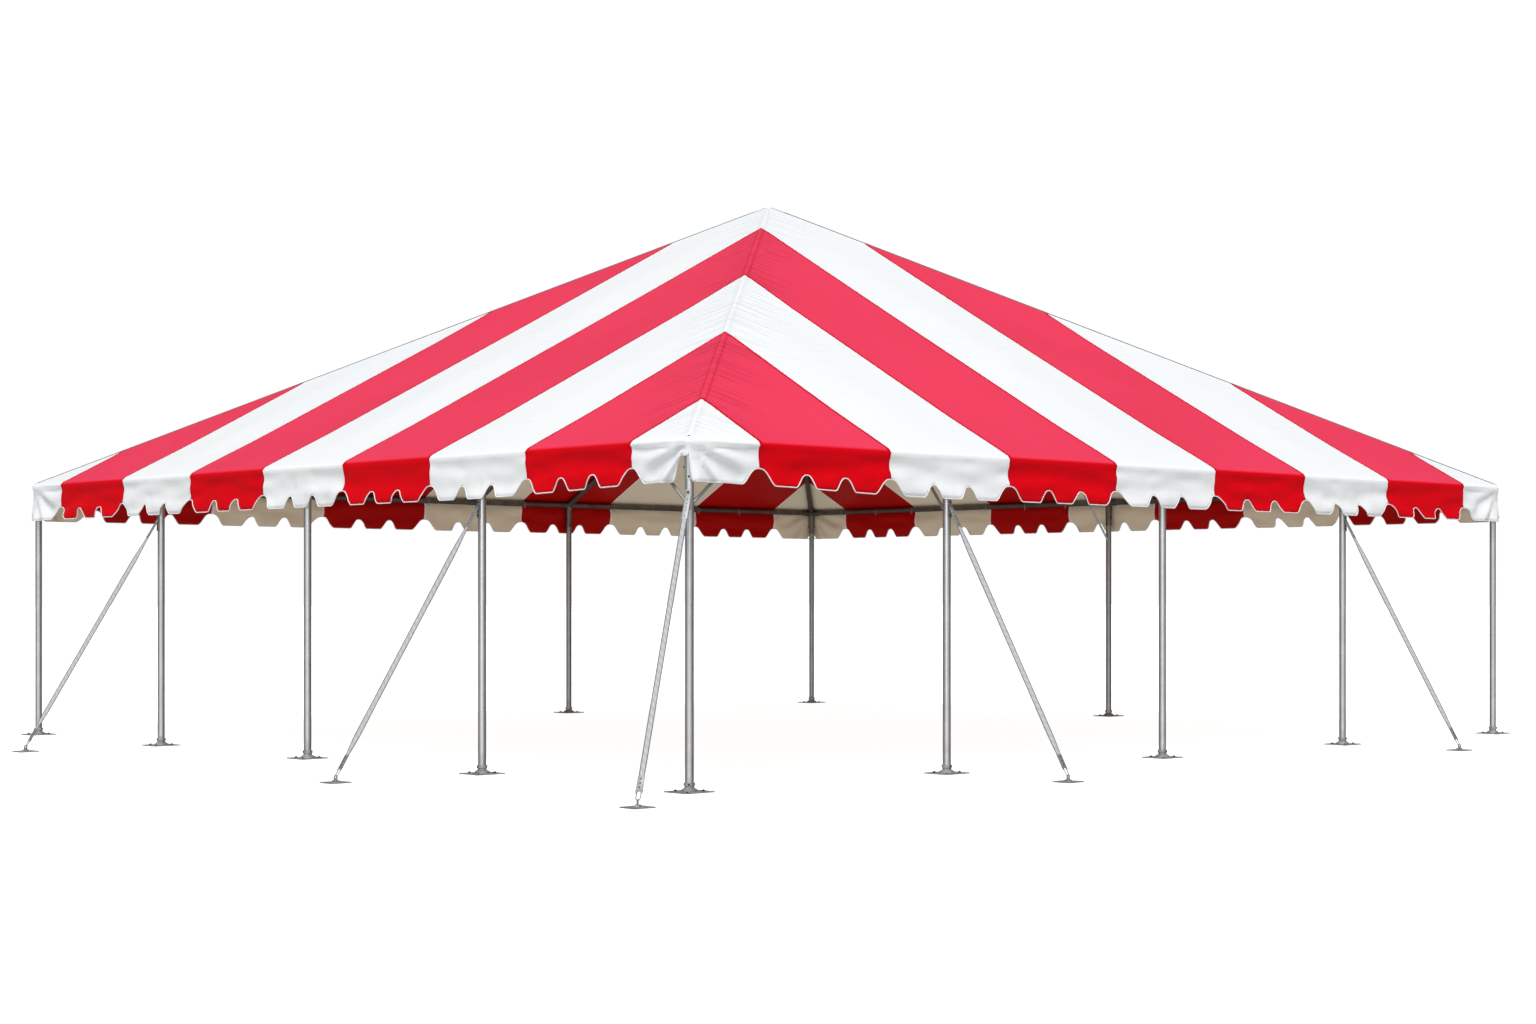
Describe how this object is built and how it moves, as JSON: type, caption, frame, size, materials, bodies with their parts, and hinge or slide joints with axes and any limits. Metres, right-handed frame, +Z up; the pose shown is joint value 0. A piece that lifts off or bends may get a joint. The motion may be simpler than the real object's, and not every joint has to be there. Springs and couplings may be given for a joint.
{
  "type": "marquee tent",
  "caption": "Square frame tent with a striped pyramid canopy, a scalloped valance, steel legs on base plates and brace straps on two sides.",
  "frame": {"origin": "on the ground at the middle of the whole part's outline, straps included; the tent's own centre is 0.725 m along +X and +Y from it", "axes": "+Z up; the front is -Y and the left is -X, and these are the two sides with brace straps"},
  "size_m": [13.8324, 13.8324, 6.2098],
  "materials": {
    "galvanised_steel": "zinc-coated, satin",
    "grey_casting": "zinc-coated casting, matte",
    "canopy_vinyl": "coated cloth, semi-gloss",
    "valance_vinyl": "coated cloth, semi-gloss",
    "strap_webbing": "woven strap, matte"
  },
  "bodies": {
    "root": {"leg_front_left": "galvanised_steel", "foot_front_left": "grey_casting", "leg_front_right": "galvanised_steel", "foot_front_right": "grey_casting", "leg_back_right": "galvanised_steel", "foot_back_right": "grey_casting", "leg_back_left": "galvanised_steel", "foot_back_left": "grey_casting", "leg_front_1": "galvanised_steel", "foot_front_1": "grey_casting", "leg_front_2": "galvanised_steel", "foot_front_2": "grey_casting", "leg_front_3": "galvanised_steel", "foot_front_3": "grey_casting", "leg_right_1": "galvanised_steel", "foot_right_1": "grey_casting", "leg_back_1": "galvanised_steel", "foot_back_1": "grey_casting", "leg_left_1": "galvanised_steel", "foot_left_1": "grey_casting", "leg_left_2": "galvanised_steel", "foot_left_2": "grey_casting", "leg_left_3": "galvanised_steel", "foot_left_3": "grey_casting", "corner_fitting_front_left": "grey_casting", "hip_rafter_front_left": "galvanised_steel", "corner_fitting_front_right": "grey_casting", "hip_rafter_front_right": "galvanised_steel", "corner_fitting_back_right": "grey_casting", "hip_rafter_back_right": "galvanised_steel", "corner_fitting_back_left": "grey_casting", "hip_rafter_back_left": "galvanised_steel", "eave_beam_front": "galvanised_steel", "main_rafter_front": "galvanised_steel", "roof_panel_front": "canopy_vinyl", "valance_front": "valance_vinyl", "eave_beam_right": "galvanised_steel", "main_rafter_right": "galvanised_steel", "roof_panel_right": "canopy_vinyl", "valance_right": "valance_vinyl", "eave_beam_back": "galvanised_steel", "main_rafter_back": "galvanised_steel", "roof_panel_back": "canopy_vinyl", "valance_back": "valance_vinyl", "eave_beam_left": "galvanised_steel", "main_rafter_left": "galvanised_steel", "roof_panel_left": "canopy_vinyl", "valance_left": "valance_vinyl", "crown_hub": "grey_casting", "guy_strap_front_left": "strap_webbing", "guy_anchor_front_left": "grey_casting", "guy_strap_left_1": "strap_webbing", "guy_anchor_left_1": "grey_casting", "guy_strap_left_3": "strap_webbing", "guy_anchor_left_3": "grey_casting", "guy_strap_front_1": "strap_webbing", "guy_anchor_front_1": "grey_casting", "guy_strap_front_3": "strap_webbing", "guy_anchor_front_3": "grey_casting"}
  },
  "joints": []
}
